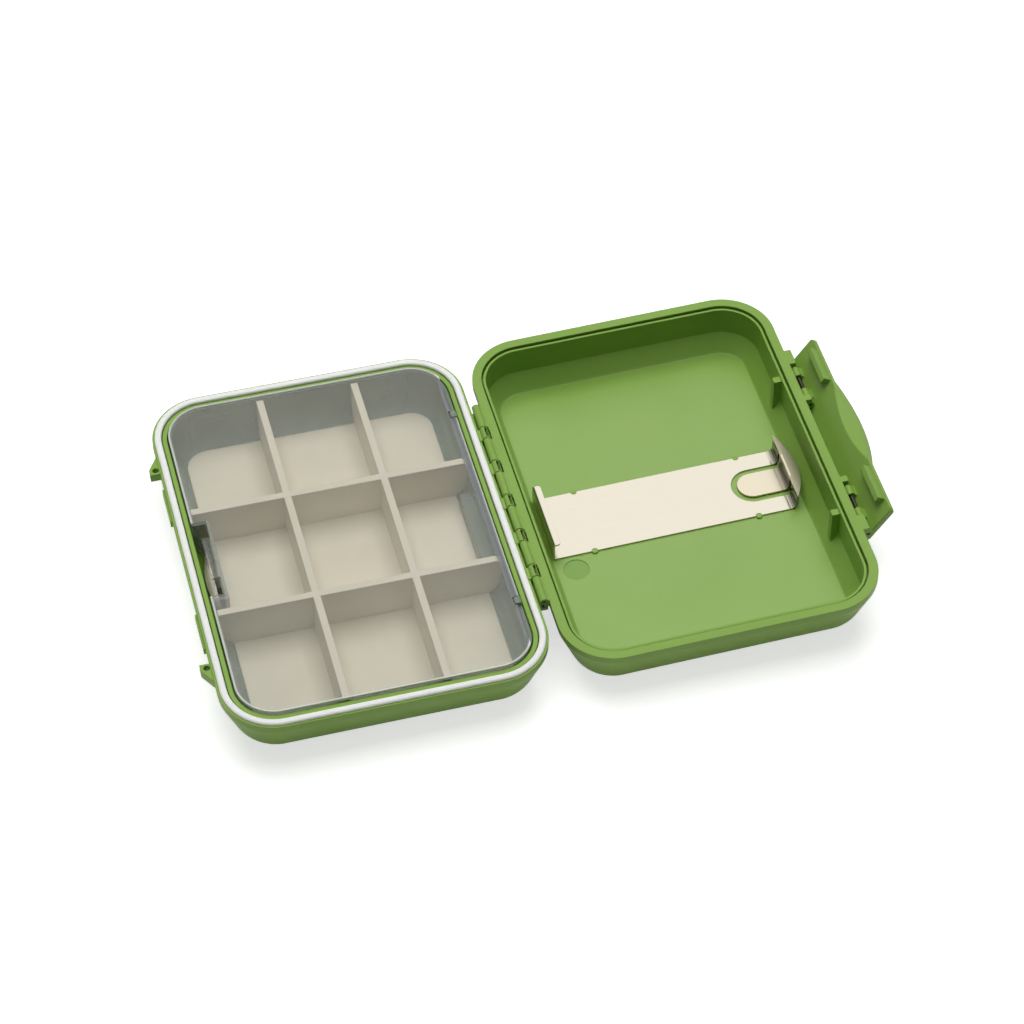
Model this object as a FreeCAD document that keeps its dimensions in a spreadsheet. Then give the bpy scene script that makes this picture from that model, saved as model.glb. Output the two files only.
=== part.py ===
import FreeCAD, Part
import Sketcher
import os
import re

# Pocket fly box lying open flat: base on the left, lid on the right, hinge line along Y between them.
# The origin is the middle of the base underside, Z is up, lengths are in millimetres.

SIZES = {
    # base shell
    "case_length": 116.7,
    "case_width": 86.5,
    "case_corner": 14.9,
    "base_height": 16.2,
    "rim_band": 2.0,
    "wall_taper": 20.5,
    "base_round": 9.0,
    "base_floor": 1.6,
    "lip_width": 0.6,
    "groove_width": 2.15,
    "groove_depth": 2.0,
    "land_width": 1.2,
    "cavity_draft": 4.0,
    "cavity_round": 7.0,
    # seal ring
    "seal_width": 1.87,
    "seal_round": 0.5,
    "seal_rise": 0.8,
    # lid shell
    "lid_margin": 0.2,
    "rim_gap": 0.8,
    "lid_round": 7.0,
    "lid_floor": 1.6,
    "lid_flange": 2.55,
    "lid_groove": 0.5,
    "lid_groove_depth": 2.4,
    "ridge_width": 0.7,
    "ridge_drop": 0.6,
    "lid_wall": 9.1,
    "lid_slope": 38.0,
    "slope_round": 0.5,
    "rib_y": 25.0,
    "rib_width": 2.0,
    "rib_depth": 2.2,
    "rib_foot": 4.0,
    "rib_drop": 0.6,
    "mark_inset": 12.85,
    "mark_y": 15.5,
    "mark_radius": 3.5,
    "mark_depth": 0.15,
    # case hinge
    "hinge_offset": 1.5,
    "hinge_rise": 0.2,
    "hinge_barrel": 1.1,
    "hinge_pin": 0.5,
    "pin_play": 0.05,
    "knuckle_pitch": 12.6,
    "base_knuckle": 3.9,
    "knuckle_gap": 0.25,
    "swing_gap": 0.3,
    "lid_lift": 1.47,
    "knuckle_root": 0.5,
    "web_depth": 1.2,
    "leaf_rise": 0.35,
    "knuckle_slot": 0.2,
    "slot_depth": 5.0,
    "window_inset": 0.05,
    "window_width": 0.65,
    "window_end": 0.3,
    "shelf_reach": 1.1,
    "shelf_depth": 1.0,
    # latch keepers and cord eyelets on the base
    "keeper_y": 22.24,
    "keeper_length": 11.6,
    "keeper_reach": 0.5,
    "keeper_height": 2.2,
    "keeper_drop": 0.8,
    "wall_bite": 1.9,
    "eyelet_y": 34.8,
    "eyelet_inset": 1.02,
    "eyelet_hole": 0.85,
    "eyelet_reach": 2.65,
    "eyelet_start": 33.4,
    "eyelet_flat": 2.0,
    "eyelet_slope": 4.2,
    "eyelet_height": 2.5,
    "eyelet_drop": 0.3,
    # latch lever, drawn upright above its pivot
    "latch_offset": 1.45,
    "latch_drop": 2.2,
    "latch_open": 34.0,
    "latch_barrel": 1.1,
    "latch_pin": 0.55,
    "lever_half": 32.6,
    "lever_face": 1.45,
    "lever_thick": 1.65,
    "lever_foot": 3.2,
    "lever_top": 9.0,
    "lever_bevel": 0.6,
    "lever_corner": 1.4,
    "hook_start": 16.3,
    "hook_length": 12.1,
    "hook_reach": 2.75,
    "hook_low": 6.8,
    "hook_high": 8.5,
    "grip_half": 16.0,
    "grip_bulge": 2.3,
    "grip_tilt": 40.0,
    "grip_low": 1.8,
    "lug_outer": 28.6,
    "lug_outer_length": 5.2,
    "lug_inner": 14.4,
    "lug_inner_length": 2.0,
    "lug_gap": 0.3,
    "lug_root": 1.5,
    "lug_reach": 0.4,
    "lever_knuckle": 3.3,
    "lever_web": 0.88,
    "pin_end": 0.2,
    # sheet straps
    "sheet": 0.5,
    "strap_half": 10.8,
    "lid_lip_gap": 0.1617,
    "lid_lip_height": 6.2,
    "hook_root": 0.2,
    "hook_reach": 2.15,
    "hook_bend": 0.3,
    "hook_round": 0.9,
    "lid_bend_inset": 11.75,
    "base_lip_inset": 7.15,
    "base_lip_height": 4.4,
    "bend_radius": 1.4,
    "seat_gap": 0.05,
    "crease_z": 7.45,
    "slot_half": 5.8,
    "slot_width": 1.7,
    "slot_back": 7.7,
    "tab_half": 11.57,
    "tab_sag_lid": 3.6,
    "tab_sag_base": 2.4,
    "tab_tilt": 12.0,
    "ejector_rise": 0.25,
    "notch_radius": 0.85,
    "notch_hinge_inset": 19.35,
    "notch_latch_inset": 20.9,
    "peg_radius": 0.8,
    # insert
    "insert_drop": 0.1,
    "insert_gap": 0.42,
    "insert_rest": 0.2,
    "insert_round": 6.5,
    "insert_wall": 0.9,
    "insert_floor": 0.7,
    "tray_floor": 0.7,
    "divider": 1.95,
    "divider_drop": 0.1,
    "divider_left": 11.9,
    "divider_right": 14.6,
    "divider_row": 17.76,
    "recess_half": 12.8,
    "recess_gap": 0.7,
    "lip_pocket_half": 11.6,
    "lip_gap": 0.4,
    "lip_pocket_top": 7.9,
    # insert cover
    "cover_gap": 0.3,
    "cover_thick": 0.9,
    "cover_hinge_inset": 5.25,
    "cover_hinge_rise": 0.6,
    "cover_barrel": 0.8,
    "cover_half": 32.5,
    "cover_pin": 0.45,
    "cover_pin_length": 1.8,
    "cover_edge": 0.4,
    "ear_length": 2.1,
    "ear_half": 0.85,
    "ear_foot": 2.0,
    "ear_top": 0.8,
    "snap_half": 7.0,
    "snap_thick": 0.8,
    "snap_drop": 3.6,
    "snap_lip": 1.2,
}

# Places that follow the case, each worked out from the sizes above.
PLACES = {
    "hinge_x": "case_width / 2 + hinge_offset",
    "hinge_z": "base_height + hinge_rise",
    "lid_left": "2 * hinge_x - case_width / 2",
    "lid_right": "2 * hinge_x + case_width / 2",
    "lid_height": "hinge_z - rim_gap",
    "mark_x": "lid_left + mark_inset",
    "latch_x": "lid_right + latch_offset",
    "latch_z": "lid_height - latch_drop",
    "lid_foot_x": "lid_left + lid_flange + lid_groove + ridge_width",
    "lid_slope_run": "(lid_height - lid_wall - lid_floor) * tan(lid_slope)",
    "lid_lip_x": "lid_foot_x + lid_slope_run + lid_lip_gap",
    "lid_bend_x": "lid_right - lid_bend_inset",
    "base_lip_x": "case_width / 2 - base_lip_inset",
    "base_bend_x": "base_lip_x - sheet - bend_radius",
    "notch_hinge": "case_width / 2 - notch_hinge_inset",
    "notch_latch": "case_width / 2 - notch_latch_inset",
    "insert_top": "base_height - insert_drop",
    "recess_x": "base_bend_x + recess_gap",
    "lip_pocket_x": "base_lip_x - sheet - lip_gap",
    "cover_hinge_x": "case_width / 2 - cover_hinge_inset",
    "cover_hinge_z": "insert_top + cover_hinge_rise",
}

# Longer sizes used inside other expressions.
BASE_IN = "(lip_width + groove_width + land_width)"
LID_X = "(2 * hinge_x)"
LID_W = "case_width"
LID_L = "(case_length - 2 * lid_margin)"
LID_R = "(case_corner - lid_margin)"
LID_IN = "(lid_flange + lid_groove + ridge_width)"
INSERT_W = f"(case_width - 2 * {BASE_IN} - 2 * insert_gap)"
INSERT_L = f"(case_length - 2 * {BASE_IN} - 2 * insert_gap)"
INSERT_R = f"(case_corner - {BASE_IN} - insert_gap)"
INSERT_Z = "(base_floor + sheet + insert_rest)"
TRAY_Z = f"({INSERT_Z} + insert_floor)"
COVER_Z = "(insert_top + cover_gap)"
LEVER_BACK = "(lever_face + lever_thick)"
FAR = "200"

doc = FreeCAD.newDocument("fly_box")
sizes = doc.addObject("Spreadsheet::Sheet", "sizes")
rows = {name: str(number) for name, number in SIZES.items()}
rows.update({name: "=" + text for name, text in PLACES.items()})
for row, (name, text) in enumerate(rows.items(), start=1):
    sizes.set(f"A{row}", name)
    sizes.set(f"B{row}", text)
    sizes.setAlias(f"B{row}", name)
doc.recompute()


def linked(text):
    def swap(match):
        word = match.group(0)
        return "sizes." + word if word in rows else word

    return re.sub(r"[a-z]\w*", swap, text)


def value(text):
    return float(sizes.evalExpression(linked(text)))


def bind(thing, prop, text):
    thing.setExpression(prop, linked(text))


def place(thing, x="0", y="0", z="0"):
    bind(thing, "Placement.Base.x", x)
    bind(thing, "Placement.Base.y", y)
    bind(thing, "Placement.Base.z", z)


# Solids made of primitives

def block(name, x, y, z):
    thing = doc.addObject("Part::Box", name)
    bind(thing, "Length", f"({x[1]}) - ({x[0]})")
    bind(thing, "Width", f"({y[1]}) - ({y[0]})")
    bind(thing, "Height", f"({z[1]}) - ({z[0]})")
    place(thing, x[0], y[0], z[0])
    return thing


def rod(name, radius, length, x, y, z):
    thing = doc.addObject("Part::Cylinder", name)
    thing.Placement.Rotation = FreeCAD.Rotation(FreeCAD.Vector(1, 0, 0), -90)
    bind(thing, "Radius", radius)
    bind(thing, "Height", length)
    place(thing, x, y, z)
    return thing


def disc(name, radius, length, x, y, z):
    thing = doc.addObject("Part::Cylinder", name)
    bind(thing, "Radius", radius)
    bind(thing, "Height", length)
    place(thing, x, y, z)
    return thing


def fuse(name, *things):
    thing = doc.addObject("Part::MultiFuse", name)
    thing.Shapes = list(things)
    thing.Refine = True
    return thing


def common(name, *things):
    thing = doc.addObject("Part::MultiCommon", name)
    thing.Shapes = list(things)
    return thing


def cut(name, solid, *tools):
    tool = tools[0] if len(tools) == 1 else fuse(name + "_tools", *tools)
    thing = doc.addObject("Part::Cut", name)
    thing.Base = solid
    thing.Tool = tool
    thing.Refine = True
    return thing


# Bodies with rounded outlines

def new_body(name):
    return doc.addObject("PartDesign::Body", name)


def new_sketch(body, name, role, height="0"):
    sketch = body.newObject("Sketcher::SketchObject", name)
    plane = next(item for item in body.Origin.OriginFeatures if item.Role == role)
    sketch.AttachmentSupport = (plane, [""])
    sketch.MapMode = "FlatFace"
    bind(sketch, "AttachmentOffset.Base.z", height)
    return sketch


def fix(sketch, label, text, *constraint):
    index = sketch.addConstraint(Sketcher.Constraint(*constraint, value(text)))
    sketch.renameConstraint(index, label)
    bind(sketch, "Constraints." + label, text)


def rounded(sketch, tag, width, length, corner):
    w = value(width) / 2
    h = value(length) / 2
    r = value(corner)
    up = FreeCAD.Vector(0, 0, 1)
    quarter = FreeCAD.Units.parseQuantity("90 deg").getValueAs("rad").Value
    ends = [
        ((w, r - h), (w, h - r)),
        ((w - r, h), (r - w, h)),
        ((-w, h - r), (-w, r - h)),
        ((r - w, -h), (w - r, -h)),
    ]
    centres = [(w - r, h - r), (r - w, h - r), (r - w, r - h), (w - r, r - h)]
    lines = []
    arcs = []
    for start, end in ends:
        lines.append(sketch.addGeometry(Part.LineSegment(FreeCAD.Vector(*start), FreeCAD.Vector(*end))))
    for turn, centre in enumerate(centres):
        circle = Part.Circle(FreeCAD.Vector(*centre), up, r)
        arcs.append(sketch.addGeometry(Part.ArcOfCircle(circle, turn * quarter, (turn + 1) * quarter)))
    for turn in range(4):
        sketch.addConstraint(Sketcher.Constraint("Tangent", lines[turn], 2, arcs[turn], 1))
        sketch.addConstraint(Sketcher.Constraint("Tangent", arcs[turn], 2, lines[(turn + 1) % 4], 1))
    for turn in range(4):
        sketch.addConstraint(Sketcher.Constraint("Horizontal" if turn % 2 else "Vertical", lines[turn]))
    for turn in range(3):
        sketch.addConstraint(Sketcher.Constraint("Equal", arcs[turn], arcs[turn + 1]))
    sketch.addConstraint(Sketcher.Constraint("Symmetric", arcs[0], 3, arcs[2], 3, -1, 1))
    fix(sketch, tag + "_width", width, "DistanceX", lines[2], 1, lines[0], 1)
    fix(sketch, tag + "_length", length, "DistanceY", lines[3], 1, lines[1], 1)
    fix(sketch, tag + "_corner", corner, "Radius", arcs[0])


def polygon(sketch, points):
    corners = [FreeCAD.Vector(value(x), value(y)) for x, y in points]
    lines = []
    for number, corner in enumerate(corners):
        lines.append(sketch.addGeometry(Part.LineSegment(corner, corners[(number + 1) % len(corners)])))
    for number, line in enumerate(lines):
        sketch.addConstraint(Sketcher.Constraint("Coincident", line, 2, lines[(number + 1) % len(lines)], 1))
    for number, (x, y) in enumerate(points):
        fix(sketch, f"x{number}", x, "DistanceX", -1, 1, lines[number], 1)
        fix(sketch, f"y{number}", y, "DistanceY", -1, 1, lines[number], 1)


def swept(body, kind, name, sketch, length, down=False, taper=None):
    feature = body.newObject("PartDesign::" + kind, name)
    feature.Profile = sketch
    feature.Reversed = down
    bind(feature, "Length", length)
    if taper:
        bind(feature, "TaperAngle", taper)
    doc.recompute()
    return feature


def soften(body, name, feature, radius, test):
    edges = [f"Edge{number}" for number, edge in enumerate(feature.Shape.Edges, start=1) if test(edge)]
    fillet = body.newObject("PartDesign::Fillet", name)
    fillet.Base = (feature, edges)
    bind(fillet, "Radius", radius)
    doc.recompute()
    return fillet


def level(text):
    height = value(text)
    return lambda edge: abs(edge.BoundBox.ZMin - height) < 1e-4 and abs(edge.BoundBox.ZMax - height) < 1e-4


def tub(name, width, length, corner, top, foot, taper, radius, band=None):
    body = new_body(name)
    if band:
        rim = new_sketch(body, name + "_rim_outline", "XY_Plane", top)
        rounded(rim, "rim", width, length, corner)
        swept(body, "Pad", name + "_rim", rim, band, down=True)
        top = f"({top}) - ({band})"
    outline = new_sketch(body, name + "_wall_outline", "XY_Plane", top)
    rounded(outline, "wall", width, length, corner)
    wall = swept(body, "Pad", name + "_wall", outline, f"({top}) - ({foot})", down=True, taper=f"-{taper}")
    soften(body, name + "_foot", wall, radius, level(foot))
    return body


def ring(body, kind, name, height, depth, outer, inner, down):
    sketch = new_sketch(body, name + "_outline", "XY_Plane", height)
    rounded(sketch, "outer", *outer)
    rounded(sketch, "inner", *inner)
    return swept(body, kind, name, sketch, depth, down=down)


def inset(width, length, corner, amount):
    return f"{width} - 2 * ({amount})", f"{length} - 2 * ({amount})", f"{corner} - ({amount})"


CASE = ("case_width", "case_length", "case_corner")
LID = (LID_W, LID_L, LID_R)
INSERT = (INSERT_W, INSERT_L, INSERT_R)

# Base shell: tapered tub, cavity, seal groove
base_outer = tub("base_outer", *CASE, "base_height", "0", "wall_taper", "base_round", "rim_band")
CAVITY = inset(*CASE, BASE_IN)
base_void = tub("base_void", *CAVITY, "base_height", "base_floor", "cavity_draft", "cavity_round")
groove = new_body("seal_groove")
seal_out = inset(*CASE, "lip_width")
groove_in = inset(*CASE, "lip_width + groove_width")
ring(groove, "Pad", "seal_channel", "base_height", "groove_depth", seal_out, groove_in, True)

# Seal ring: soft ring in the groove, against the outer lip
seal = new_body("seal_ring")
seal_in = inset(*CASE, "lip_width + seal_width")
SEAL_TOP = "(base_height + seal_rise)"
seal_pad = ring(seal, "Pad", "seal_band", SEAL_TOP, "groove_depth + seal_rise", seal_out, seal_in, True)
soften(seal, "seal_crown", seal_pad, "seal_round", level(SEAL_TOP))

# Case hinge: five base knuckles between six lid knuckles on one pin
LID_KNUCKLE = "(knuckle_pitch - base_knuckle - 2 * knuckle_gap)"
base_parts = []
base_cuts = [base_void, groove]
lid_parts = []
lid_cuts = []
for count in range(5):
    middle = f"({count - 2} * knuckle_pitch)"
    span = (f"{middle} - base_knuckle / 2", f"{middle} + base_knuckle / 2")
    barrel = rod(f"base_knuckle_{count}", "hinge_barrel", "base_knuckle", "hinge_x", span[0], "hinge_z")
    base_parts.append(barrel)
    room = (f"{span[0]} - knuckle_gap", f"{span[1]} + knuckle_gap")
    slot_z = ("hinge_z - slot_depth", "hinge_z + slot_depth")
    lid_cuts.append(block(f"knuckle_slot_{count}", ("hinge_x", "lid_left + knuckle_slot"), room, slot_z))
    window_x = ("hinge_x + window_inset", "hinge_x + window_inset + window_width")
    window_y = (f"{span[0]} + window_end", f"{span[1]} - window_end")
    window_z = ("hinge_z", "hinge_z + 2 * hinge_barrel")
    base_cuts.append(block(f"knuckle_window_{count}", window_x, window_y, window_z))
    root = ("case_width / 2 - knuckle_root", "hinge_x")
    base_parts.append(block(f"base_web_{count}", root, span, ("hinge_z - hinge_barrel", "hinge_z")))
for count in range(6):
    start = f"({count - 2.5} * knuckle_pitch - {LID_KNUCKLE} / 2)"
    span = (start, f"{start} + {LID_KNUCKLE}")
    lid_parts.append(rod(f"lid_knuckle_{count}", "hinge_barrel", LID_KNUCKLE, "hinge_x", start, "hinge_z"))
    root = ("hinge_x", f"{LID_X} - {LID_W} / 2 + knuckle_root")
    lid_parts.append(block(f"lid_web_{count}", root, span, ("lid_height - web_depth", "lid_height")))
    leaf = ("lid_height - web_depth", "hinge_z + leaf_rise")
    lid_parts.append(block(f"lid_leaf_{count}", ("hinge_x", "lid_left"), span, leaf))
    room = f"{LID_KNUCKLE} + 2 * knuckle_gap"
    relief = f"{start} - knuckle_gap"
    base_cuts.append(rod(f"relief_{count}", "hinge_barrel + swing_gap", room, "hinge_x", relief, "hinge_z"))
HINGE_HALF = f"(2.5 * knuckle_pitch + {LID_KNUCKLE} / 2)"
SHELF_TOP = "(lid_height - web_depth - swing_gap)"
shelf_x = ("case_width / 2 - wall_bite", "hinge_x + shelf_reach")
shelf_y = (f"-{HINGE_HALF}", HINGE_HALF)
base_parts.append(block("hinge_shelf", shelf_x, shelf_y, (f"{SHELF_TOP} - shelf_depth", SHELF_TOP)))
pin = rod("lid_hinge_pin", "hinge_pin", f"2 * {HINGE_HALF}", "hinge_x", f"-{HINGE_HALF}", "hinge_z")
base_bore = rod("base_hinge_bore", "hinge_pin", FAR, "hinge_x", f"-{FAR} / 2", "hinge_z")
lid_bore = rod("lid_hinge_bore", "hinge_pin + pin_play", FAR, "hinge_x", f"-{FAR} / 2", "hinge_z")

# Keepers for the latch hooks and cord eyelets on the left wall of the base
KEEPER_X = "(case_width / 2 + keeper_reach)"
KEEPER_TOP = "(base_height - keeper_drop)"
EYE_TOP = "(base_height - eyelet_drop)"
EYE_X = "(case_width / 2 + eyelet_inset)"
for side, sign in (("rear", "1"), ("front", "-1")):
    middle = f"({sign} * keeper_y)"
    span = (f"{middle} - keeper_length / 2", f"{middle} + keeper_length / 2")
    reach = (f"-{KEEPER_X}", "wall_bite - case_width / 2")
    base_parts.append(block(f"keeper_{side}", reach, span, (f"{KEEPER_TOP} - keeper_height", KEEPER_TOP)))
    lug = new_body(f"eyelet_{side}")
    plan = new_sketch(lug, f"eyelet_plan_{side}", "XY_Plane", EYE_TOP)
    back = "wall_bite - case_width / 2"
    front = "-(case_width / 2 + eyelet_reach)"
    slope = f"{sign} * (eyelet_start + eyelet_flat)"
    root = f"{sign} * (eyelet_start + eyelet_flat + eyelet_slope)"
    near = f"{sign} * eyelet_start"
    polygon(plan, [(back, near), (front, near), (front, slope), ("-case_width / 2", root), (back, root)])
    swept(lug, "Pad", f"eyelet_lug_{side}", plan, "eyelet_height", down=True)
    base_parts.append(lug)
    eye_y = f"{sign} * eyelet_y"
    base_cuts.append(disc(f"eyelet_hole_{side}", "eyelet_hole", FAR, f"-{EYE_X}", eye_y, f"-{FAR} / 2"))

# Pegs that hold the straps at their edge notches
NOTCH = {
    "hinge": (f"{LID_X} - notch_hinge", "notch_hinge"),
    "latch": (f"{LID_X} + notch_latch", "-notch_latch"),
}
base_pegs = []
lid_pegs = []
lid_notches = []
base_notches = []
for end, (lid_at, base_at) in NOTCH.items():
    for side, sign in (("rear", "1"), ("front", "-1")):
        edge = f"{sign} * strap_half"
        tag = f"{end}_{side}"
        lid_tall = "lid_floor / 2 + sheet"
        base_tall = "base_floor / 2 + sheet"
        lid_pegs.append(disc(f"lid_peg_{tag}", "peg_radius", lid_tall, lid_at, edge, "lid_floor / 2"))
        base_pegs.append(disc(f"base_peg_{tag}", "peg_radius", base_tall, base_at, edge, "base_floor / 2"))
        lid_notches.append(disc(f"lid_notch_{tag}", "notch_radius", FAR, lid_at, edge, f"-{FAR} / 2"))
        base_notches.append(disc(f"base_notch_{tag}", "notch_radius", FAR, base_at, edge, f"-{FAR} / 2"))

# Seat for the base strap where its ends meet the rounded foot of the cavity
SEAT_HALF = "(strap_half + seat_gap)"
SEAT_R = "(bend_radius + sheet + seat_gap)"
SEAT_Z = "(base_floor + sheet + bend_radius)"
SEAT_SPAN = (f"-{SEAT_HALF}", SEAT_HALF)
base_cuts.append(block("strap_seat", ("-base_bend_x", "base_bend_x"), SEAT_SPAN, ("base_floor", SEAT_Z)))
for side, sign in (("left", "-1"), ("right", "1")):
    end_x = f"{sign} * base_bend_x"
    base_cuts.append(rod(f"strap_seat_{side}", SEAT_R, f"2 * {SEAT_HALF}", end_x, f"-{SEAT_HALF}", SEAT_Z))

base_solid = fuse("base_solid", base_outer, *base_parts)
base_hollow = cut("base_hollow", base_solid, *base_cuts)
base_pegged = fuse("base_pegged", base_hollow, *base_pegs)
base_shell = cut("base_shell", base_pegged, base_bore)

# Lid shell: tapered tub, rim groove and ridge, upright wall with a sloped foot down to the floor
lid_outer = tub("lid_outer", *LID, "lid_height", "0", "wall_taper", "lid_round", "rim_band")
LID_INSIDE = inset(*LID, LID_IN)
lid_void = tub("lid_void", *LID_INSIDE, "lid_height", "lid_floor", "lid_slope", "slope_round", "lid_wall")
lid_channel = new_body("lid_channel")
groove_out = inset(*LID, "lid_flange")
ridge_in = inset(*LID, LID_IN + " + ridge_width")
ring(lid_channel, "Pad", "ridge_drop_cut", "lid_height", "ridge_drop", groove_out, ridge_in, True)
lid_groove = new_body("lid_groove_cut")
groove_in = inset(*LID, "lid_flange + lid_groove")
ring(lid_groove, "Pad", "rim_groove", "lid_height", "lid_groove_depth", groove_out, groove_in, True)
for body in (lid_outer, lid_void, lid_channel, lid_groove):
    place(body, LID_X)
mark = disc("floor_mark", "mark_radius", "lid_floor", "mark_x", "-mark_y", "lid_floor - mark_depth")
lid_cuts += [lid_void, lid_channel, lid_groove, mark]

# Ribs on the latch wall and lugs for the latch pins
WALL_IN = f"({LID_X} + {LID_W} / 2 - {LID_IN})"
LUG_ROOT = f"({LID_X} + {LID_W} / 2 - lug_root)"
LUGS = (("outer", "lug_outer", "lug_outer_length"), ("inner", "lug_inner", "lug_inner_length"))
ribs = []
for side, sign in (("rear", "1"), ("front", "-1")):
    middle = f"({sign} * rib_y)"
    span = (f"{middle} - rib_width / 2", f"{middle} + rib_width / 2")
    depth = (f"{WALL_IN} - rib_depth", f"{WALL_IN} + ridge_width / 2")
    ribs.append(block(f"rib_{side}", depth, span, ("rib_foot", "lid_height - ridge_drop - rib_drop")))
    for lug, start, length in LUGS:
        low = f"({sign} * ({start} + {length} / 2) - {length} / 2)"
        tag = f"{lug}_{side}"
        span_lug = (low, f"{low} + {length}")
        lid_parts.append(rod(f"lug_barrel_{tag}", "latch_barrel", length, "latch_x", low, "latch_z"))
        under = (LUG_ROOT, "latch_x")
        over = (LUG_ROOT, "latch_x + lug_reach")
        lid_parts.append(block(f"lug_root_{tag}", under, span_lug, ("latch_z - latch_barrel", "latch_z")))
        lid_parts.append(block(f"lug_top_{tag}", over, span_lug, ("latch_z", "lid_height")))
latch_bore = rod("lid_latch_bore", "latch_pin", FAR, "latch_x", f"-{FAR} / 2", "latch_z")
lid_solid = fuse("lid_solid", lid_outer, *lid_parts)
lid_hollow = cut("lid_hollow", lid_solid, *lid_cuts)
lid_ribs = common("lid_ribs", fuse("rib_pair", *ribs), lid_outer)
lid_ribbed = fuse("lid_ribbed", lid_hollow, lid_ribs, *lid_pegs)
lid_shell = cut("lid_shell", lid_ribbed, lid_bore, latch_bore)

# Latch pins, on the pivot line of the lifted lid
LATCH_X = "(hinge_x + (latch_x - hinge_x) * cos(lid_lift) - (latch_z - hinge_z) * sin(lid_lift))"
LATCH_Z = "(hinge_z + (latch_x - hinge_x) * sin(lid_lift) + (latch_z - hinge_z) * cos(lid_lift))"
PIN_LENGTH = "(lug_outer + lug_outer_length - lug_inner - 2 * pin_end)"
latch_pins = []
for side, sign in (("rear", "1"), ("front", "-1")):
    low = f"{sign} * (lug_inner + pin_end + {PIN_LENGTH} / 2) - {PIN_LENGTH} / 2"
    latch_pins.append(rod(f"latch_pin_{side}", "latch_pin", PIN_LENGTH, LATCH_X, low, LATCH_Z))

# Latch lever: plate, flared grip, hook bars and knuckles, drawn around the pivot line
lever = new_body("lever_plate")
section = new_sketch(lever, "lever_section", "XZ_Plane")
polygon(section, [
    ("lever_face", "-lever_foot"),
    (f"{LEVER_BACK} - lever_bevel", "-lever_foot"),
    (LEVER_BACK, "lever_bevel - lever_foot"),
    (LEVER_BACK, "lever_top - lever_bevel"),
    (f"{LEVER_BACK} - lever_bevel", "lever_top"),
    ("lever_face", "lever_top"),
])
plate = swept(lever, "Pad", "lever_pad", section, "2 * lever_half")
plate.SideType = "Symmetric"
doc.recompute()
lever_top = value("lever_top - 2 * lever_bevel")


def corner_edge(edge):
    box = edge.BoundBox
    return box.YLength < 1e-4 and box.ZLength < 1e-4 and box.ZMax > lever_top


soften(lever, "lever_corners", plate, "lever_corner", corner_edge)
GRIP_R = "((grip_half ^ 2 + grip_bulge ^ 2) / (2 * grip_bulge))"


def tilted(name, radius, face):
    thing = doc.addObject("Part::Cylinder", name)
    thing.Placement.Rotation = FreeCAD.Rotation(FreeCAD.Vector(0, 1, 0), value("grip_tilt"))
    bind(thing, "Placement.Rotation.Angle", "grip_tilt")
    bind(thing, "Radius", radius)
    bind(thing, "Height", FAR)
    reach = f"{face} - ({radius}) / cos(grip_tilt) - {FAR} / 2 * sin(grip_tilt)"
    place(thing, reach, "0", f"lever_top - {FAR} / 2 * cos(grip_tilt)")
    return thing


grip_back = tilted("grip_back", GRIP_R, f"({LEVER_BACK} + grip_bulge)")
grip_face = tilted("grip_face", GRIP_R, "(lever_face + grip_bulge)")
GRIP_TALL = ("grip_low", "lever_top")
grip_depth = ("lever_face", f"{LEVER_BACK} + 2 * grip_bulge")
grip_room = block("grip_room", grip_depth, ("-grip_half", "grip_half"), GRIP_TALL)
grip_span = ("lug_gap - grip_half", "grip_half - lug_gap")
grip_hollow = block("grip_hollow", ("0", f"{LEVER_BACK} + grip_bulge"), grip_span, GRIP_TALL)
grip = common("grip", grip_back, grip_room)
scoop = common("grip_scoop", grip_face, grip_hollow)
lever_parts = []
for side, sign in (("rear", "1"), ("front", "-1")):
    low = f"({sign} * (hook_start + hook_length / 2) - hook_length / 2)"
    depth = ("lever_face - hook_reach", "lever_face + lever_thick / 2")
    span = (low, f"{low} + hook_length")
    lever_parts.append(block(f"hook_{side}", depth, span, ("hook_low", "hook_high")))
    inner = "(lug_inner + lug_inner_length + lug_gap + lever_knuckle / 2)"
    outer = "(lug_outer - lug_gap - lever_knuckle / 2)"
    for name, middle in (("inner", inner), ("outer", outer)):
        low = f"({sign} * {middle} - lever_knuckle / 2)"
        tag = f"{name}_{side}"
        lever_parts.append(rod(f"lever_knuckle_{tag}", "latch_barrel", "lever_knuckle", "0", low, "0"))
        span = (low, f"{low} + lever_knuckle")
        tall = ("-lever_web", "lever_web")
        lever_parts.append(block(f"lever_web_{tag}", ("0", "lever_face + lever_thick / 2"), span, tall))
lever_body = fuse("lever_body", lever, grip, *lever_parts)
lever_bore = rod("lever_bore", "latch_pin + pin_play", FAR, "0", f"-{FAR} / 2", "0")
latch_lever = cut("latch_lever", lever_body, scoop, lever_bore)
latch_lever.Placement.Rotation = FreeCAD.Rotation(FreeCAD.Vector(0, 1, 0), value("latch_open - lid_lift"))
bind(latch_lever, "Placement.Rotation.Angle", "latch_open - lid_lift")
place(latch_lever, LATCH_X, "0", LATCH_Z)


# Sheet straps: flat run, upright lip at one end, bend and riser at the other, half-moon tab on the crease

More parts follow.
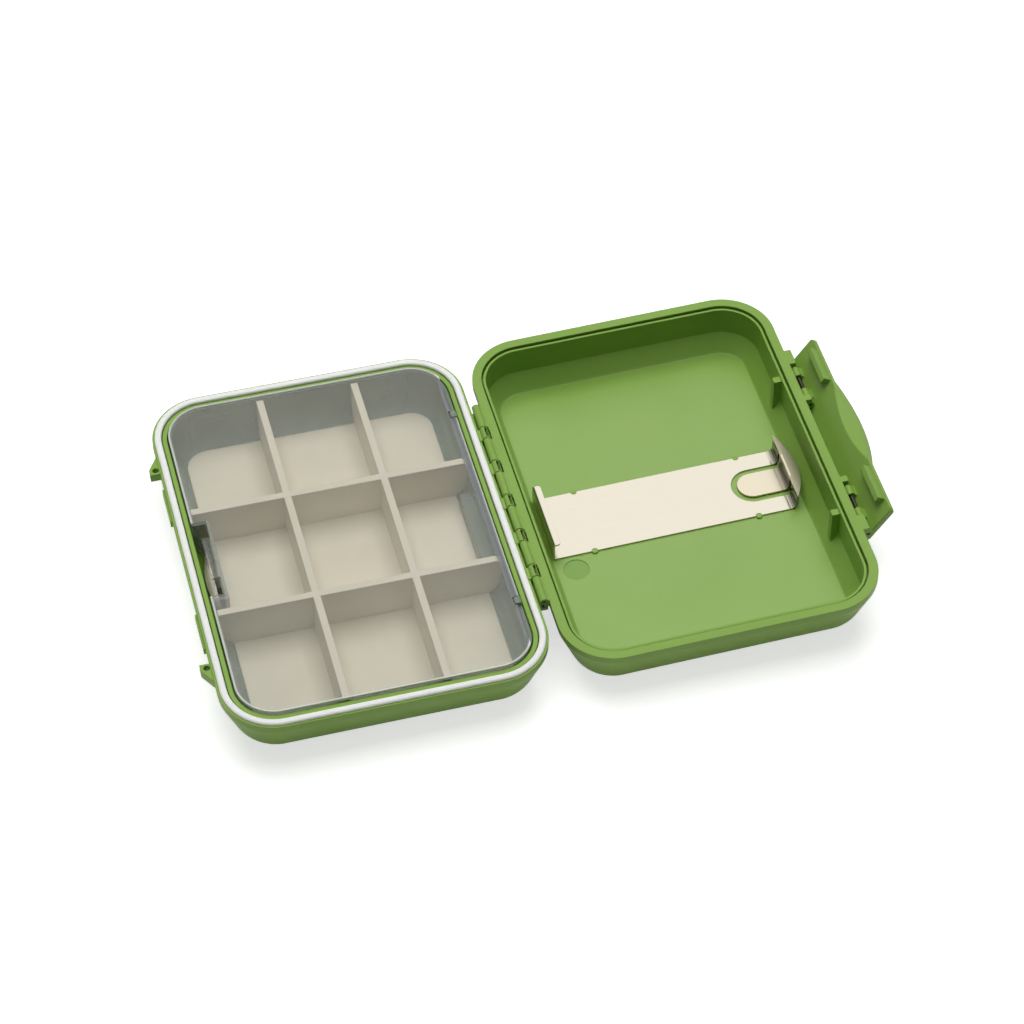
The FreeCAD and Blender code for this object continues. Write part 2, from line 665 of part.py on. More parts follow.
def strap(tag, lip_x, lip_height, bend_x, floor, sag, way, hooked=False):
    def run(near, far):
        return (near, far) if way > 0 else (far, near)

    sign = "1" if way > 0 else "-1"
    top = f"({floor} + sheet)"
    wide = ("-strap_half", "strap_half")
    axis_z = f"({top} + bend_radius)"
    lip_radius = "hook_root" if hooked else "bend_radius"
    lip_bend = f"({lip_x} + {sign} * (sheet + {lip_radius}))"
    lip_axis_z = f"({top} + {lip_radius})"
    corner = f"{bend_x} + {sign} * (bend_radius + sheet)"
    face = f"({bend_x} + {sign} * bend_radius)"

    def bent(end, radius, axis_x, axis_height, quarter_x, quarter_z):
        whole = ("2 * strap_half", axis_x, "-strap_half", axis_height)
        outer = rod(f"{tag}_{end}_outer", f"{radius} + sheet", *whole)
        inner = rod(f"{tag}_{end}_inner", radius, *whole)
        quarter = block(f"{tag}_{end}_quarter", quarter_x, wide, quarter_z)
        return common(f"{tag}_{end}_bend", cut(f"{tag}_{end}_ring", outer, inner), quarter)

    # The lip's top edge turns in over the strap, with rounded corners
    def hook(peak):
        turn_x = f"({lip_x} + {sign} * (sheet + hook_bend))"
        turn_z = f"({peak} - sheet - hook_bend)"
        edge_x = f"({lip_x} + {sign} * hook_reach)"
        round_x = f"({lip_x} + {sign} * (hook_reach - hook_round))"
        inner_half = "(strap_half - hook_round)"
        layer = (f"{peak} - sheet", peak)
        parts = [
            bent("hook", "hook_bend", turn_x, turn_z, run(lip_x, turn_x), (turn_z, peak)),
            block(f"{tag}_hook_root", run(turn_x, round_x), wide, layer),
            block(f"{tag}_hook_edge", run(turn_x, edge_x), (f"-{inner_half}", inner_half), layer),
        ]
        for side in (inner_half, f"-{inner_half}"):
            name = f"{tag}_hook_corner_{len(parts)}"
            whole = disc(f"{name}_disc", "hook_round", "sheet", round_x, side, layer[0])
            parts.append(common(name, whole, block(f"{name}_half", run(round_x, edge_x), wide, layer)))
        return parts, turn_z

    flat = block(f"{tag}_flat", run(lip_bend, bend_x), wide, (floor, top))
    riser = block(f"{tag}_riser", run(face, corner), wide, (axis_z, "crease_z"))
    lip_turn = bent("lip", lip_radius, lip_bend, lip_axis_z, run(lip_x, lip_bend), (floor, lip_axis_z))
    lip_top = f"({floor} + {lip_height})"
    hook_parts, lip_end = hook(lip_top) if hooked else ([], lip_top)
    lip = block(f"{tag}_lip", run(lip_x, f"{lip_x} + {sign} * sheet"), wide, (lip_axis_z, lip_end))
    riser_turn = bent("riser", "bend_radius", bend_x, axis_z, run(bend_x, corner), (floor, axis_z))
    sheet_run = fuse(f"{tag}_run", flat, lip, riser, lip_turn, riser_turn, *hook_parts)
    radius = f"((tab_half ^ 2 + {sag} ^ 2) / (2 * {sag}))"
    moon = disc(f"{tag}_moon", radius, "sheet", f"{sign} * ({sag} - {radius})", "0", "-sheet")
    chord = block(f"{tag}_chord", run("0", f"{sign} * {sag}"), ("-tab_half", "tab_half"), ("-sheet", "0"))
    tab = common(f"{tag}_tab", moon, chord)
    tab.Placement.Rotation = FreeCAD.Rotation(FreeCAD.Vector(0, way, 0), value("tab_tilt"))
    bind(tab, "Placement.Rotation.Angle", "tab_tilt")
    place(tab, face, "0", "crease_z")
    slot_x = f"({bend_x} - {sign} * slot_back)"
    reach = f"{bend_x} + {sign} * {FAR} / 2"
    low = f"{floor} - sheet"
    slot_top = "(crease_z - 2 * sheet)"
    tongue_half = "(slot_half - slot_width)"
    slot_round = disc(f"{tag}_slot_round", "slot_half", f"{slot_top} - ({low})", slot_x, "0", low)
    slot_run = block(f"{tag}_slot_run", run(slot_x, reach), ("-slot_half", "slot_half"), (low, slot_top))
    tongue_round = disc(f"{tag}_tongue_round", tongue_half, "crease_z", slot_x, "0", low)
    tongue_span = (f"-{tongue_half}", tongue_half)
    tongue_run = block(f"{tag}_tongue_run", run(slot_x, reach), tongue_span, (low, "crease_z"))
    slot = fuse(f"{tag}_slot", slot_round, slot_run)
    tongue = fuse(f"{tag}_tongue", tongue_round, tongue_run)
    return sheet_run, tab, slot, tongue


base_run, base_tab, base_slot, base_tongue = strap(
    "base_strap", "base_lip_x", "base_lip_height", "-base_bend_x", "base_floor", "tab_sag_base", -1)
base_slit = cut("base_slit", base_slot, base_tongue)
base_plate = cut("base_plate", fuse("base_strap_tabbed", base_run, base_tab), base_slit, *base_notches)

lid_run, lid_tab, lid_slot, lid_tongue = strap(
    "lid_strap", "lid_lip_x", "lid_lip_height", "lid_bend_x", "lid_floor", "tab_sag_lid", 1, hooked=True)
top_gap = block("strap_top_gap", ("lid_bend_x", f"lid_bend_x + {FAR}"), ("-strap_half", "strap_half"),
                ("crease_z - 2 * sheet - swing_gap", "crease_z"))
lid_plate = cut("lid_plate", lid_run, lid_slot, top_gap, *lid_notches)
lid_ejector = fuse("lid_ejector", common("ejector_tongue", lid_run, lid_tongue), lid_tab)

# The lid stops a little short of flat, so its pieces stand turned up about the hinge line
for thing, rise in ((lid_shell, "0"), (lid_plate, "0"), (lid_ejector, "ejector_rise")):
    thing.Placement.Rotation = FreeCAD.Rotation(FreeCAD.Vector(0, -1, 0), value("lid_lift"))
    bind(thing, "Placement.Rotation.Angle", "lid_lift")
    shift_x = f"hinge_x - hinge_x * cos(lid_lift) + (hinge_z - {rise}) * sin(lid_lift)"
    shift_z = f"hinge_z - hinge_x * sin(lid_lift) - (hinge_z - {rise}) * cos(lid_lift)"
    place(thing, shift_x, "0", shift_z)

# Insert: smoky box with a recess for the strap tab, a pocket for the strap lip and ears for the cover
insert_outer = tub("insert_outer", *INSERT, "insert_top", INSERT_Z, "cavity_draft", "insert_round")
INSERT_IN = inset(*INSERT, "insert_wall")
INNER_ROUND = "insert_round - insert_wall"
insert_void = tub("insert_void", *INSERT_IN, "insert_top", TRAY_Z, "cavity_draft", INNER_ROUND)
TALL = ("0", "2 * base_height")
LEFT = "-case_width / 2"
RIGHT = "case_width / 2"
recess = block("recess", (LEFT, "-recess_x"), ("-recess_half", "recess_half"), TALL)
recess_wall = block("recess_wall", (LEFT, "insert_wall - recess_x"),
                    ("-recess_half - insert_wall", "recess_half + insert_wall"), TALL)
pocket = block("lip_pocket", ("lip_pocket_x", RIGHT), ("-lip_pocket_half", "lip_pocket_half"),
               ("0", "lip_pocket_top"))
pocket_wall = block("lip_pocket_wall", ("lip_pocket_x - insert_wall", RIGHT),
                    ("-lip_pocket_half - insert_wall", "lip_pocket_half + insert_wall"),
                    ("0", "lip_pocket_top + insert_wall"))
insert_room = cut("insert_room", insert_void, recess_wall, pocket_wall)
HINGE_LOW = "(cover_hinge_z - cover_barrel - cover_gap)"
EAR_AT = "(cover_half + cover_gap)"
hinge_seat = block("cover_hinge_seat", ("cover_hinge_x - cover_barrel - 2 * cover_gap", RIGHT),
                   (f"-{EAR_AT}", EAR_AT), (HINGE_LOW, "2 * base_height"))
ears = []
for side, sign in (("rear", "1"), ("front", "-1")):
    low = f"({sign} * ({EAR_AT} + ear_length / 2) - ear_length / 2)"
    span = (low, f"{low} + ear_length")
    tall = ("cover_hinge_z - ear_foot", "cover_hinge_z + ear_top")
    deep = ("cover_hinge_x - ear_half", "cover_hinge_x + ear_half")
    ears.append(block(f"cover_ear_{side}", deep, span, tall))
ear_bore = rod("ear_bore", "cover_pin + pin_play", f"2 * {EAR_AT} + 2 * ear_length", "cover_hinge_x",
               f"-{EAR_AT} - ear_length", "cover_hinge_z")
insert_walls = cut("insert_walls", insert_outer, insert_room, recess, pocket, hinge_seat)
insert_box = cut("insert_box", fuse("insert_eared", insert_walls, *ears), ear_bore)

# Divider tray: floor and crossed dividers shaped by the inside of the box
ACROSS = (LEFT, RIGHT)
ALONG = ("-case_length / 2", "case_length / 2")
HIGH = (TRAY_Z, "insert_top - divider_drop")
tray_parts = [block("tray_floor_slab", ACROSS, ALONG, (TRAY_Z, f"{TRAY_Z} + tray_floor"))]
for name, middle in (("left", "-divider_left"), ("right", "divider_right")):
    thick = (f"{middle} - divider / 2", f"{middle} + divider / 2")
    tray_parts.append(block(f"divider_{name}", thick, ALONG, HIGH))
for name, middle in (("rear", "divider_row"), ("front", "-divider_row")):
    thick = (f"{middle} - divider / 2", f"{middle} + divider / 2")
    tray_parts.append(block(f"divider_{name}", ACROSS, thick, HIGH))
divider_grid = fuse("divider_grid", *tray_parts)
tray_shape = common("tray_shape", divider_grid, insert_room)
RELIEF_X = ("cover_hinge_x - cover_barrel - 2 * cover_gap", RIGHT)
tray_relief = block("tray_relief", RELIEF_X, ALONG, (HINGE_LOW, "2 * base_height"))
divider_tray = cut("divider_tray", tray_shape, tray_relief)

# Insert cover: thin sheet with a hinge barrel, two stub pins and a hanging snap tab
cover_body = new_body("cover_sheet")
cover_plan = new_sketch(cover_body, "cover_plan", "XY_Plane", COVER_Z)
rounded(cover_plan, "cover", *INSERT)
swept(cover_body, "Pad", "cover_pad", cover_plan, "cover_thick")
cover_cuts = [
    block("cover_recess", (LEFT, "-recess_x"), ("-recess_half", "recess_half"), TALL),
    block("cover_right", ("cover_hinge_x - cover_edge", RIGHT), ALONG, TALL),
]
for side, sign in (("rear", "1"), ("front", "-1")):
    low = f"({sign} * ({EAR_AT} + ear_length / 2) - ear_length / 2)"
    span = (f"{low} - cover_gap", f"{low} + ear_length + cover_gap")
    deep = ("cover_hinge_x - ear_half - cover_gap", RIGHT)
    cover_cuts.append(block(f"cover_ear_room_{side}", deep, span, TALL))
cover_trim = cut("cover_trim", cover_body, *cover_cuts)
barrel = rod("cover_barrel_rod", "cover_barrel", "2 * cover_half", "cover_hinge_x", "-cover_half",
             "cover_hinge_z")
stubs = rod("cover_stubs", "cover_pin", "2 * (cover_half + cover_pin_length)", "cover_hinge_x",
            "-cover_half - cover_pin_length", "cover_hinge_z")
SNAP_OUT = "(recess_x + cover_gap + snap_thick)"
COVER_TOP = f"({COVER_Z} + cover_thick)"
SNAP_WIDE = ("-snap_half", "snap_half")
snap_deep = (f"-{SNAP_OUT} - snap_lip", "-recess_x + cover_gap")
snap_top = block("snap_top", snap_deep, SNAP_WIDE, (COVER_Z, COVER_TOP))
snap_tall = (f"{COVER_Z} - snap_drop", COVER_TOP)
snap_wall = block("snap_wall", (f"-{SNAP_OUT}", "-recess_x - cover_gap"), SNAP_WIDE, snap_tall)
insert_cover = fuse("insert_cover", cover_trim, barrel, stubs, snap_top, snap_wall)

NODES = {
    "base_shell": base_shell,
    "lid_shell": lid_shell,
    "seal_ring": seal,
    "lid_hinge_pin": pin,
    "latch_lever": latch_lever,
    "latch_pin_rear": latch_pins[0],
    "latch_pin_front": latch_pins[1],
    "base_plate": base_plate,
    "lid_plate": lid_plate,
    "lid_ejector": lid_ejector,
    "insert_box": insert_box,
    "divider_tray": divider_tray,
    "insert_cover": insert_cover,
}

doc.recompute()
for thing in doc.Objects:
    if "Invalid" in thing.State or "Error" in thing.State:
        raise RuntimeError(f"{thing.Name} did not build: {thing.State}")
os.makedirs("parts", exist_ok=True)
for name, thing in NODES.items():
    thing.Label = name
    shape = thing.Shape
    if shape.isNull() or not shape.isValid() or len(shape.Solids) != 1:
        raise RuntimeError(f"{name} is not one valid solid: {len(shape.Solids)}")
    shape.exportStep(f"parts/{name}.step")
    box = shape.BoundBox
    low = [round(v, 2) for v in (box.XMin, box.YMin, box.ZMin)]
    high = [round(v, 2) for v in (box.XMax, box.YMax, box.ZMax)]
    print(name, round(shape.Volume, 1), low, high)
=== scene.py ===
import bmesh
import bpy
from mathutils import Matrix, Vector


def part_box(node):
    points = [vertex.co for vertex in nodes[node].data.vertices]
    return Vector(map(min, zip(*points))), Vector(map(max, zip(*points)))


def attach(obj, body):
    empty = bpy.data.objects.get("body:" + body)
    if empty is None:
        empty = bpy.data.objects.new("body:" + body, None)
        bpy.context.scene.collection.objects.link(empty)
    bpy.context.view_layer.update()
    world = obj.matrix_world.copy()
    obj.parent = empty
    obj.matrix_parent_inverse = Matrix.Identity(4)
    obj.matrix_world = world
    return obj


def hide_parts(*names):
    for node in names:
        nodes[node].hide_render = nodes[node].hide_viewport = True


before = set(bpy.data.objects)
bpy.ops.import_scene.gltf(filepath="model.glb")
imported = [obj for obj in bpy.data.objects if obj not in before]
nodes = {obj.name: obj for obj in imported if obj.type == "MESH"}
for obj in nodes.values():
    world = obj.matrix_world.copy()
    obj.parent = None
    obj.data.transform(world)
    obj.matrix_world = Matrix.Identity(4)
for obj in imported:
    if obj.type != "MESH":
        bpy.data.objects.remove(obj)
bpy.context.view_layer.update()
scene = bpy.context.scene
scene.view_settings.view_transform = "Standard"
print("frame:", len(nodes), "nodes")


# shader maths: a socket that can be used in plain expressions
class Sock:
    def __init__(self, look, socket):
        self.look = look
        self.socket = socket

    def calc(self, operation, other, swapped=False):
        first, second = (other, self) if swapped else (self, other)
        return self.look.add("ShaderNodeMath", {"operation": operation}, {0: first, 1: second})

    def __add__(self, other):
        return self.calc("ADD", other)

    def __radd__(self, other):
        return self.calc("ADD", other)

    def __sub__(self, other):
        return self.calc("SUBTRACT", other)

    def __rsub__(self, other):
        return self.calc("SUBTRACT", other, True)

    def __mul__(self, other):
        return self.calc("MULTIPLY", other)

    def __rmul__(self, other):
        return self.calc("MULTIPLY", other)

    def __pow__(self, other):
        return self.calc("POWER", other)

    def __rpow__(self, other):
        return self.calc("POWER", other, True)

    def __abs__(self):
        return self.calc("ABSOLUTE", 0)


class Nodes:
    def __init__(self, tree):
        self.tree = tree

    def add(self, kind, settings=None, inputs=None, output=0):
        node = self.tree.nodes.new(kind)
        for key, val in (settings or {}).items():
            setattr(node, key, val)
        for key, val in (inputs or {}).items():
            self.feed(node.inputs[key], val)
        return Sock(self, node.outputs[output])

    def feed(self, socket, val):
        if isinstance(val, Sock):
            self.tree.links.new(val.socket, socket)
        else:
            socket.default_value = val

    def ray(self, *kinds):  # 1 for the named kinds of ray
        path = self.add("ShaderNodeLightPath").socket.node
        return [Sock(self, path.outputs[f"Is {kind} Ray"]) for kind in kinds]

    def axes(self, vector):
        split = self.add("ShaderNodeSeparateXYZ", {}, {0: vector}).socket.node
        return [Sock(self, split.outputs[axis]) for axis in "XYZ"]

    def band(self, value, low, high):  # 0 below low, 1 above high
        inputs = {"Value": value, "From Min": low, "From Max": high}
        return self.add("ShaderNodeMapRange", {"clamp": True}, inputs)

    def ramp(self, value, band, ends):  # from the first end to the second over the band
        first, last = ends
        return self.band(value, *band) * (last - first) + first


edgeSamples = 6  # rays that soften a moulded edge


class Look(Nodes):
    def __init__(self, name):
        self.material = bpy.data.materials.new(name)
        self.material.use_nodes = True
        super().__init__(self.material.node_tree)
        self.shader = self.tree.nodes["Principled BSDF"]

    def set(self, **values):
        for key, val in values.items():
            self.feed(self.shader.inputs[key.replace("_", " ")], val)

    def place(self, stretch=(1, 1, 1)):
        coord = self.add("ShaderNodeTexCoord", output="Object")
        return self.add("ShaderNodeMapping", {}, {"Vector": coord, "Scale": stretch})

    def noise(self, scale, detail, stretch=(1, 1, 1)):
        inputs = {"Vector": self.place(stretch), "Scale": scale, "Detail": detail}
        return self.add("ShaderNodeTexNoise", {}, inputs)

    def spot(self, place, edge):  # 1 inside a circle seen from above
        x, y, _ = self.axes(self.place())
        away = ((x - place[0]) ** 2 + (y - place[1]) ** 2) ** 0.5
        return 1 - self.band(away, *edge)

    def fromEdge(self, half, corner):  # distance outside a rounded plan, below 0 inside
        x, y, _ = self.axes(self.place())
        outX = abs(x) - (half[0] - corner)
        outY = abs(y) - (half[1] - corner)
        outside = (outX.calc("MAXIMUM", 0) ** 2 + outY.calc("MAXIMUM", 0) ** 2) ** 0.5
        return outside + outX.calc("MAXIMUM", outY).calc("MINIMUM", 0) - corner

    def mix(self, factor, one, two):  # the colour sockets of a Mix node share names, so they go by number
        return self.add("ShaderNodeMix", {"data_type": "RGBA"}, {0: factor, 6: one, 7: two}, 2)

    def relief(self, height, part):
        softened = self.add("ShaderNodeBevel", {"samples": edgeSamples}, {"Radius": part["edge"]})
        self.set(Normal=self.add("ShaderNodeBump", {}, {
            "Height": height, "Distance": part["depth"], "Strength": part["strength"], "Normal": softened}))


def srgb(red, green, blue):
    parts = []
    for part in (red, green, blue):
        part = part / 255
        parts.append(part / 12.92 if part <= 0.04045 else ((part + 0.055) / 1.055) ** 2.4)
    return (*parts, 1)


# moulded green plastic of the case: satin grain, faint flow clouds and scuffs, softened edges
greenCase = {
    "colour": srgb(136, 172, 78), "pale": srgb(148, 181, 94), "deep": srgb(130, 167, 70),
    "cloud": {"scale": 38, "detail": 4}, "cloudBand": (0.35, 0.7),
    "scuff": {"scale": 420, "detail": 5, "stretch": (0.25, 1.6, 1)},
    "scuffBand": (0.66, 0.9), "scuffTint": 0.35,
    "cloudRough": 0.4, "roughBand": (0.4, 1.0), "rough": (0.34, 0.46), "gloss": 0.4,
    "grain": {"scale": 2600, "detail": 2}, "depth": 0.000012, "strength": 0.35, "edge": 0.0003,
}
greenLever = {**greenCase, "edge": 0.0005}  # rounder to the hand
greenLid = {  # with a polished floor, which lies turned up about the hinge
    **greenCase, "hinge": 0.04475, "tilt": 0.0257, "floor": (0.0018, 0.0024),
    "sheen": 0.8, "sheenRough": 0.4, "gloss": 0.35,
}
mouldMark = {  # round moulding mark in the lid floor, duller than the floor
    "at": (0.05948, -0.0155), "rim": (0.00335, 0.00355), "above": (0.0011, 0.0012),
    "tone": srgb(118, 157, 62), "dulled": 0.2,
}


def makeGreen(name, part, mark=None):
    look = Look(name)
    cloud = look.noise(**part["cloud"])
    scuff = look.noise(**part["scuff"])
    tone = look.mix(look.band(cloud, *part["cloudBand"]), part["deep"], part["colour"])
    tone = look.mix(look.band(scuff, *part["scuffBand"]) * part["scuffTint"], tone, part["pale"])
    rough = look.ramp(scuff + cloud * part["cloudRough"], part["roughBand"], part["rough"])
    if mark:
        _, _, height = look.axes(look.place())
        dull = look.spot(mark["at"], mark["rim"]) * look.band(height, *mark["above"])
        tone = look.mix(dull, tone, mark["tone"])
        rough = rough + dull * mark["dulled"]
    if "sheen" in part:
        side, _, height = look.axes(look.place())
        flat = height - (side - part["hinge"]) * part["tilt"]
        polished = 1 - look.band(flat, *part["floor"])
        look.set(Coat_Weight=polished * part["sheen"], Coat_Roughness=part["sheenRough"])
    look.set(Base_Color=tone, Roughness=rough, Specular_IOR_Level=part["gloss"])
    look.relief(look.noise(**part["grain"]), part)
    return look.material


# soft white seal with a little dust
sealRubber = {
    "colour": srgb(249, 250, 246), "dust": srgb(236, 237, 230),
    "speck": {"scale": 900, "detail": 3}, "dustBand": (0.58, 0.8), "dustTint": 0.6,
    "roughBand": (0.2, 0.9), "rough": (0.45, 0.65),
    "grain": {"scale": 2400, "detail": 2}, "depth": 0.000004, "strength": 0.15, "edge": 0.0002,
}


def makeSeal(name, part):
    look = Look(name)
    speck = look.noise(**part["speck"])
    dusty = look.band(speck, *part["dustBand"]) * part["dustTint"]
    look.set(Base_Color=look.mix(dusty, part["colour"], part["dust"]))
    look.set(Roughness=look.ramp(speck, part["roughBand"], part["rough"]))
    look.relief(look.noise(**part["grain"]), part)
    return look.material


# stainless of the straps, brushed along the strap
stainless = {
    "colour": srgb(208, 202, 186), "dull": srgb(205, 199, 183), "rough": (0.14, 0.19),
    "streak": {"scale": 5200, "detail": 3, "stretch": (0.02, 1, 1)}, "streakBand": (0.3, 0.7),
    "haze": {"scale": 60, "detail": 3}, "hazeShare": 0.3,
    "depth": 0.000002, "strength": 0.1, "edge": 0.0001,
}
stainlessTab = {  # duller where it is pressed
    **stainless, "colour": srgb(222, 212, 190), "dull": srgb(216, 206, 184), "rough": (0.32, 0.42),
}
pinSteelPaintedShade = {  # drawn along the pin; its dark colour is painted shade that darkens the hinge slots
    **stainless, "colour": srgb(96, 94, 86), "dull": srgb(74, 72, 64), "rough": (0.35, 0.5),
    "streak": {"scale": 5200, "detail": 3, "stretch": (1, 0.02, 1)},
}
bendPaintedShade = {  # painted shade: darker tone in the bend under the lid's half-moon tab
    "along": (0.1206, 0.1222), "up": (0.0085, 0.0092), "tone": srgb(104, 102, 88), "weight": 0.85,
}


def makeSteel(name, part, bendShade=None):
    look = Look(name)
    streak = look.noise(**part["streak"])
    haze = look.noise(**part["haze"])
    tone = look.mix(look.band(streak, *part["streakBand"]), part["dull"], part["colour"])
    # painted shade: darker tone in the bend, low down under the half-moon tab
    if bendShade:
        side, _, height = look.axes(look.place())
        shaded = look.band(side, *bendShade["along"]) * (1 - look.band(height, *bendShade["up"])) * bendShade["weight"]
        tone = look.mix(shaded, tone, bendShade["tone"])
    worn = streak * (1 - part["hazeShare"]) + haze * part["hazeShare"]
    look.set(Base_Color=tone, Metallic=1.0, Roughness=look.ramp(worn, part["streakBand"], part["rough"]))
    look.relief(streak, part)
    return look.material


# smoky clear plastic of the insert box and its cover
smokeBox = {
    "colour": srgb(160, 176, 163), "deep": srgb(147, 163, 150), "alpha": (0.48, 0.52), "rough": (0.12, 0.18),
    "gloss": 0.6, "flow": {"scale": 45, "detail": 3}, "toneBand": (0.35, 0.7), "flowBand": (0.3, 0.8),
}
smokeCover = {
    **smokeBox, "colour": srgb(204, 203, 193), "deep": srgb(196, 196, 187), "alpha": (0.12, 0.16),
    "rough": (0.06, 0.12), "gloss": 1.0,
    "half": (0.03888, 0.05398), "corner": 0.01053,
    # paler rim tone: painted highlight along the cover's cut edge
    "rim": (-0.0007, -0.00035), "rimAlpha": 0.55, "rimPaintedHighlight": srgb(222, 226, 220),
    "strip": (0.0366, 0.0368), "stripAlpha": 0.35, "stripTone": srgb(140, 146, 150),
    "flatBand": (0.4, 0.7), "sideAlpha": 0.3,
}


def makeSmoke(name, part):
    look = Look(name)
    flow = look.noise(**part["flow"])
    tone = look.mix(look.band(flow, *part["toneBand"]), part["deep"], part["colour"])
    alpha = look.ramp(flow, part["flowBand"], part["alpha"])
    if "rim" in part:  # the paler tone along the cut edge is a painted highlight; the cut edge, the thick hinge strip, which is darker, and the upright sides are less clear
        rim = look.band(look.fromEdge(part["half"], part["corner"]), *part["rim"])
        side, _, _ = look.axes(look.place())
        strip = look.band(side, *part["strip"])
        tone = look.mix(rim, look.mix(strip, tone, part["stripTone"]), part["rimPaintedHighlight"])
        _, _, facing = look.axes(look.add("ShaderNodeTexCoord", output="Normal"))
        upright = 1 - look.band(abs(facing), *part["flatBand"])
        alpha = alpha + rim * part["rimAlpha"] + strip * part["stripAlpha"] + upright * part["sideAlpha"]
    look.set(Base_Color=tone, Alpha=alpha, Roughness=look.ramp(flow, part["flowBand"], part["rough"]))
    look.set(Specular_IOR_Level=part["gloss"])
    return look.material


# cream plastic of the divider tray
creamTray = {
    "colour": srgb(237, 230, 210), "shade": srgb(229, 222, 200),
    "cloud": {"scale": 55, "detail": 4}, "cloudBand": (0.35, 0.7),
    "roughBand": (0.3, 0.8), "rough": (0.44, 0.56),
    "grain": {"scale": 300, "detail": 2}, "depth": 0.000004, "strength": 0.08, "edge": 0.0003,
}


def makeCream(name, part):
    look = Look(name)
    cloud = look.noise(**part["cloud"])
    look.set(Base_Color=look.mix(look.band(cloud, *part["cloudBand"]), part["shade"], part["colour"]))
    look.set(Roughness=look.ramp(cloud, part["roughBand"], part["rough"]))
    look.relief(look.noise(**part["grain"]), part)
    return look.material


caseFinish = makeGreen("greenCase", greenCase)
lidFinish = makeGreen("greenLid", greenLid, mouldMark)
leverFinish = makeGreen("greenLever", greenLever)
sealFinish = makeSeal("sealRubber", sealRubber)
strapFinish = makeSteel("stainless", stainless, bendPaintedShade)
tabFinish = makeSteel("stainlessTab", stainlessTab, bendPaintedShade)
pinPaintedShadeFinish = makeSteel("pinSteelPaintedShade", pinSteelPaintedShade)
boxFinish = makeSmoke("smokeBox", smokeBox)
coverFinish = makeSmoke("smokeCover", smokeCover)
trayFinish = makeCream("creamTray", creamTray)
finishes = {
    "base_shell": caseFinish, "lid_shell": lidFinish, "latch_lever": leverFinish,
    "lid_hinge_pin": pinPaintedShadeFinish, "latch_pin_rear": pinPaintedShadeFinish, "latch_pin_front": pinPaintedShadeFinish,
    "base_plate": strapFinish, "lid_plate": strapFinish, "lid_ejector": tabFinish,
    "insert_box": boxFinish, "insert_cover": coverFinish, "divider_tray": trayFinish,
}
for nodeName, finish in finishes.items():
    nodes[nodeName].data.materials.clear()
    nodes[nodeName].data.materials.append(finish)
print("finishes:", len(finishes))


def meshObject(name, bm, finish):
    mesh = bpy.data.meshes.new(name)
    bm.to_mesh(mesh)
    bm.free()
    mesh.materials.append(finish)
    made = bpy.data.objects.new(name, mesh)
    scene.collection.objects.link(made)
    return made


# soft seal: a rounded bead in the rim groove, flat underneath
sealBead = {
    "width": 0.00187, "corner": 0.0143, "cornerSteps": 14, "crown": 0.0006, "crownSteps": 4,
    "level": 0.000001, "steep": 0.5,
}


def makeSealBead(part):
    low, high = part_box("seal_ring")
    bm = bmesh.new()
    bmesh.ops.create_grid(bm, x_segments=1, y_segments=1, size=0.5)  # one metre square
    bmesh.ops.scale(bm, vec=(high.x - low.x, high.y - low.y, 1), verts=bm.verts)
    bmesh.ops.translate(bm, vec=(0, 0, low.z), verts=bm.verts)
    bmesh.ops.bevel(bm, geom=list(bm.verts), offset=part["corner"], offset_type="OFFSET",
                    segments=part["cornerSteps"], profile=0.5, affect="VERTICES", material=-1)
    bmesh.ops.inset_region(bm, faces=list(bm.faces), thickness=part["width"], use_boundary=True,
                           use_even_offset=True)
    middle = max(bm.faces, key=lambda face: face.calc_area())
    bmesh.ops.delete(bm, geom=[middle], context="FACES_ONLY")
    grown = bmesh.ops.extrude_face_region(bm, geom=list(bm.faces))
    top = [item for item in grown["geom"] if isinstance(item, bmesh.types.BMVert)]
    bmesh.ops.translate(bm, vec=(0, 0, high.z - low.z), verts=top)
    bmesh.ops.recalc_face_normals(bm, faces=list(bm.faces))
    crown = [edge for edge in bm.edges
             if all(abs(vert.co.z - high.z) < part["level"] for vert in edge.verts) and
             any(abs(face.normal.z) < part["steep"] for face in edge.link_faces)]
    bmesh.ops.bevel(bm, geom=crown, offset=part["crown"], offset_type="OFFSET",
                    segments=part["crownSteps"], profile=0.5, affect="EDGES", material=-1)
    bead = meshObject("sealBead", bm, sealFinish)
    bead.data.shade_smooth()
    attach(bead, "base")
    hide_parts("seal_ring")


makeSealBead(sealBead)
print("seal bead made")

# stage: pale floor that keeps the shadow, soft sky, two lamps
stageLook = {
    "floor": 1.6, "drop": 0.0002, "colour": (1, 1, 1, 1), "rough": 0.9,
    "white": 0.3, "glow": 2.2, "gloss": 0.2,
    "sky": 0.06, "front": 0.4, "frontBand": (-0.5, 0.3),
}


def makeFloor(part):
    look = Look("floorWhite")
    look.set(Base_Color=part["colour"], Roughness=part["rough"], Specular_IOR_Level=0.0)
    glow = look.add("ShaderNodeEmission", {}, {"Color": part["colour"], "Strength": part["glow"]})
    seen, glossy, through = look.ray("Camera", "Glossy", "Transmission")
    share = (seen + through + glossy * part["gloss"]) * part["white"]
    lit = Sock(look, look.shader.outputs["BSDF"])
    blend = look.add("ShaderNodeMixShader", {}, {0: share, 1: lit, 2: glow})
    look.feed(look.tree.nodes["Material Output"].inputs["Surface"], blend)
    bm = bmesh.new()
    bmesh.ops.create_grid(bm, x_segments=1, y_segments=1, size=part["floor"])
    floor = meshObject("floorSheet", bm, look.material)
    floor.location.z = -part["drop"]


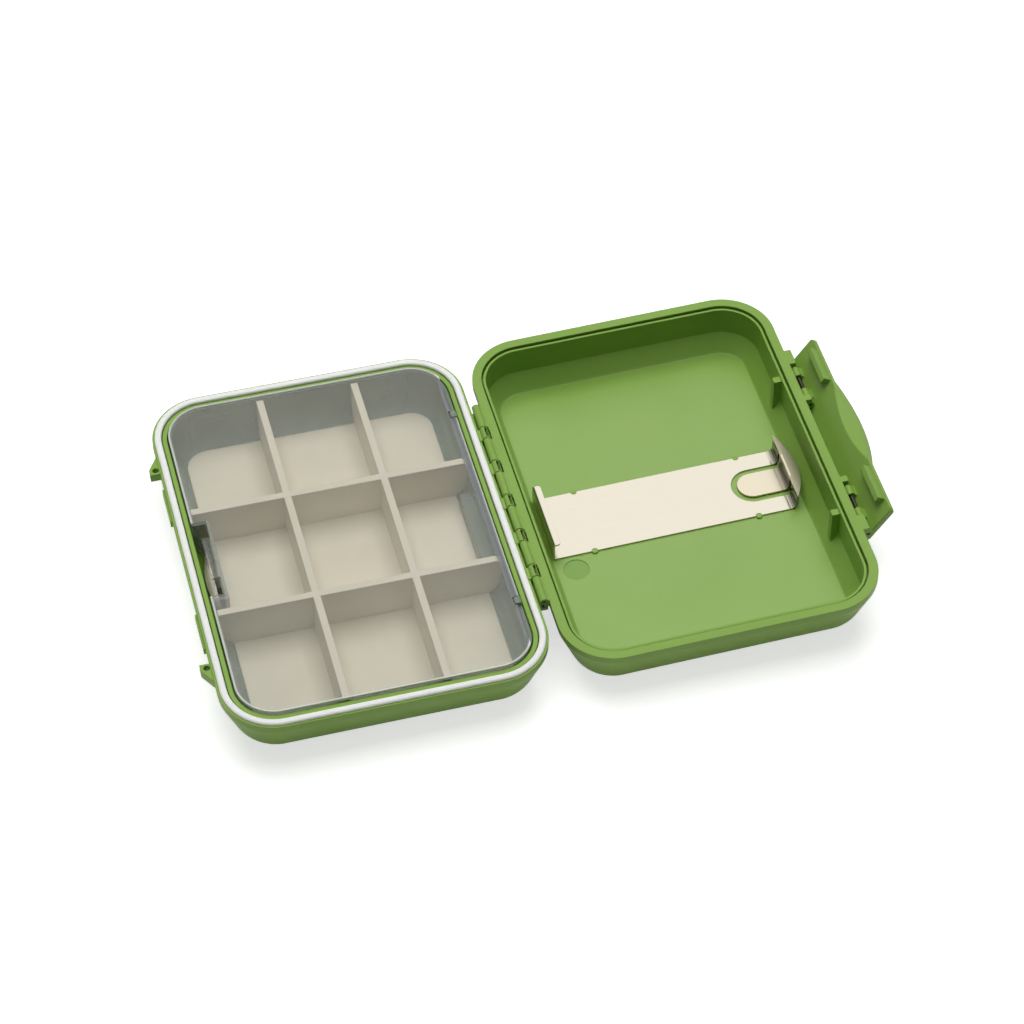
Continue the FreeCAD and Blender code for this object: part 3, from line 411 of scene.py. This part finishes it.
def makeSky(part):  # white where it is seen or mirrored, dimmer on the near side
    world = bpy.data.worlds.new("studio")
    scene.world = world
    world.use_nodes = True
    sky = Nodes(world.node_tree)
    seen, glossy, through = sky.ray("Camera", "Glossy", "Transmission")
    _, back, _ = sky.axes(sky.add("ShaderNodeTexCoord", output="Generated"))
    mirrored = sky.ramp(back, part["frontBand"], (part["front"], 1))
    shown = (seen + through).calc("MINIMUM", 1)
    level = shown + glossy * mirrored + (1 - shown - glossy) * part["sky"]
    backdrop = sky.tree.nodes["Background"]
    sky.feed(backdrop.inputs["Color"], part["colour"])
    sky.feed(backdrop.inputs["Strength"], level)


lamps = {
    "softTop": {"at": (0.05, 0.33, 1.4), "size": 1.2, "power": 19.0, "mirrored": False},
    "softBack": {"at": (0.27, 0.88, 1.06), "size": 1.0, "power": 1.3, "mirrored": True},
}
lampAim = Vector((0.045, 0, 0))  # beside the hinge


def addLamp(name, part):
    light = bpy.data.lights.new(name, "AREA")
    light.size = part["size"]
    light.energy = part["power"]
    lamp = bpy.data.objects.new(name, light)
    lamp.location = part["at"]
    lamp.visible_glossy = part["mirrored"]
    lamp.rotation_euler = (lampAim - lamp.location).to_track_quat("-Z", "Y").to_euler()
    scene.collection.objects.link(lamp)


makeFloor(stageLook)
makeSky(stageLook)
for lampName, lampPart in lamps.items():
    addLamp(lampName, lampPart)
print("stage and lamps set")

# camera at the photograph's angle
viewPoint = {
    "lens": 112.53, "sensor": 36, "at": (-0.10643, -0.54120, 0.65857), "right": (0.96615, -0.25775, 0.01145),
    "up": (0.18726, 0.73105, 0.65613), "back": (-0.17749, -0.63177, 0.75456),
}
camData = bpy.data.cameras.new("photoCamera")
camData.lens = viewPoint["lens"]
camData.sensor_width = viewPoint["sensor"]
camera = bpy.data.objects.new("photoCamera", camData)
turn = Matrix((viewPoint["right"], viewPoint["up"], viewPoint["back"])).transposed()
camera.matrix_world = Matrix.Translation(viewPoint["at"]) @ turn.to_4x4()
scene.collection.objects.link(camera)
scene.camera = camera
print("camera set")
